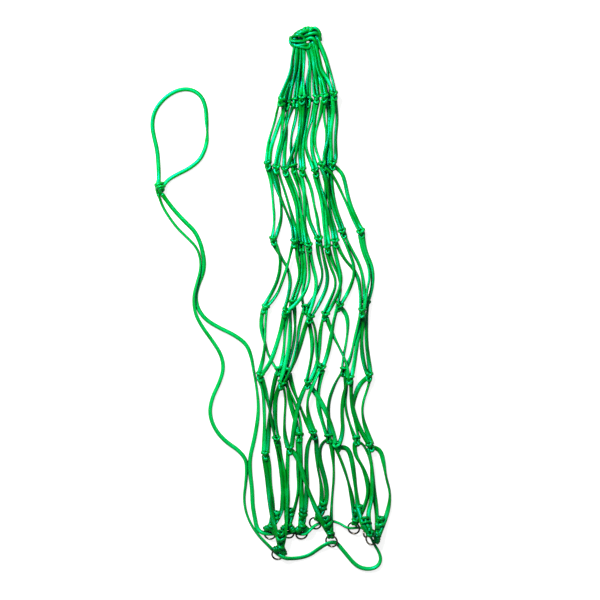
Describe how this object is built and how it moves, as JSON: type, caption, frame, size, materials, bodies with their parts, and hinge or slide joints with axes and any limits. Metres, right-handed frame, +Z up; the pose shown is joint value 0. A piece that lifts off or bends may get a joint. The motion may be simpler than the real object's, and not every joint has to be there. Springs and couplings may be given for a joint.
{
  "type": "drawstring hay net",
  "caption": "Knotted cord net bag lying flat, closed end bound to a cord-wrapped eye, steel rings at the mouth on a drawstring whose knotted tails end in a hanging loop.",
  "frame": {"origin": "middle of the cord-wrapped eye at the closed end, on the floor that the net lies on", "axes": "-Y towards the mouth along the net, +X to the right seen from above, +Z up off the floor"},
  "size_m": [0.4464, 1.0075, 0.0328],
  "materials": {
    "net_cord": "braided polypropylene cord, bright green, slightly shiny",
    "string_cord": "braided polypropylene cord, bright green, slightly shiny",
    "ring_steel": "dull nickel-plated steel wire"
  },
  "bodies": {
    "net": {"eye_core": "net_cord", "eye_wrap": "net_cord", "hitch_1": "net_cord", "hitch_2": "net_cord", "hitch_3": "net_cord", "hitch_4": "net_cord", "hitch_5": "net_cord", "hitch_6": "net_cord", "hitch_7": "net_cord", "hitch_8": "net_cord", "hitch_9": "net_cord", "knots_row_1": "net_cord", "knots_row_2": "net_cord", "knots_row_3": "net_cord", "knots_row_4": "net_cord", "knots_row_5": "net_cord", "knots_row_6": "net_cord", "legs_course_1": "net_cord", "legs_course_2": "net_cord", "legs_course_3": "net_cord", "legs_course_4": "net_cord", "legs_course_5": "net_cord", "legs_course_6": "net_cord", "legs_course_7": "net_cord", "tail_knot": "string_cord", "string_left_tail": "string_cord", "string_back": "string_cord", "string_front": "string_cord", "string_right_tail": "string_cord", "hang_loop": "string_cord"},
    "mouth_ring_1": {"ring_1": "ring_steel"},
    "mouth_ring_2": {"ring_2": "ring_steel"},
    "mouth_ring_3": {"ring_3": "ring_steel"},
    "mouth_ring_4": {"ring_4": "ring_steel"},
    "mouth_ring_5": {"ring_5": "ring_steel"},
    "mouth_ring_6": {"ring_6": "ring_steel"},
    "mouth_ring_7": {"ring_7": "ring_steel"},
    "mouth_ring_8": {"ring_8": "ring_steel"},
    "mouth_ring_9": {"ring_9": "ring_steel"}
  },
  "joints": [
    {"name": "ring_1_spin", "type": "hinge", "parent": "net", "child": "mouth_ring_1", "pos_m": [-0.051, -0.952, 0.00607], "axis": [0.0799, -0.3461, 0.9348], "continuous": true},
    {"name": "ring_2_spin", "type": "hinge", "parent": "net", "child": "mouth_ring_2", "pos_m": [-0.066, -0.914, 0.0061], "axis": [-0.2774, -0.2246, 0.9341], "continuous": true},
    {"name": "ring_3_spin", "type": "hinge", "parent": "net", "child": "mouth_ring_3", "pos_m": [-0.032, -0.912, 0.00618], "axis": [-0.2409, -0.2722, 0.9316], "continuous": true},
    {"name": "ring_4_spin", "type": "hinge", "parent": "net", "child": "mouth_ring_4", "pos_m": [-0.007, -0.914, 0.00622], "axis": [0.2307, -0.2848, 0.9304], "continuous": true},
    {"name": "ring_5_spin", "type": "hinge", "parent": "net", "child": "mouth_ring_5", "pos_m": [0.018, -0.895, 0.00591], "axis": [-0.2682, -0.2133, 0.9394], "continuous": true},
    {"name": "ring_6_spin", "type": "hinge", "parent": "net", "child": "mouth_ring_6", "pos_m": [0.048, -0.928, 0.00695], "axis": [-0.3298, -0.2577, 0.9082], "continuous": true},
    {"name": "ring_7_spin", "type": "hinge", "parent": "net", "child": "mouth_ring_7", "pos_m": [0.089, -0.904, 0.00624], "axis": [-0.2955, -0.2186, 0.93], "continuous": true},
    {"name": "ring_8_spin", "type": "hinge", "parent": "net", "child": "mouth_ring_8", "pos_m": [0.122, -0.9235, 0.00657], "axis": [-0.3811, 0.0915, 0.92], "continuous": true},
    {"name": "ring_9_spin", "type": "hinge", "parent": "net", "child": "mouth_ring_9", "pos_m": [0.11287, -0.90897, 0.01325], "axis": [0.8619, -0.2801, -0.4226], "continuous": true}
  ]
}
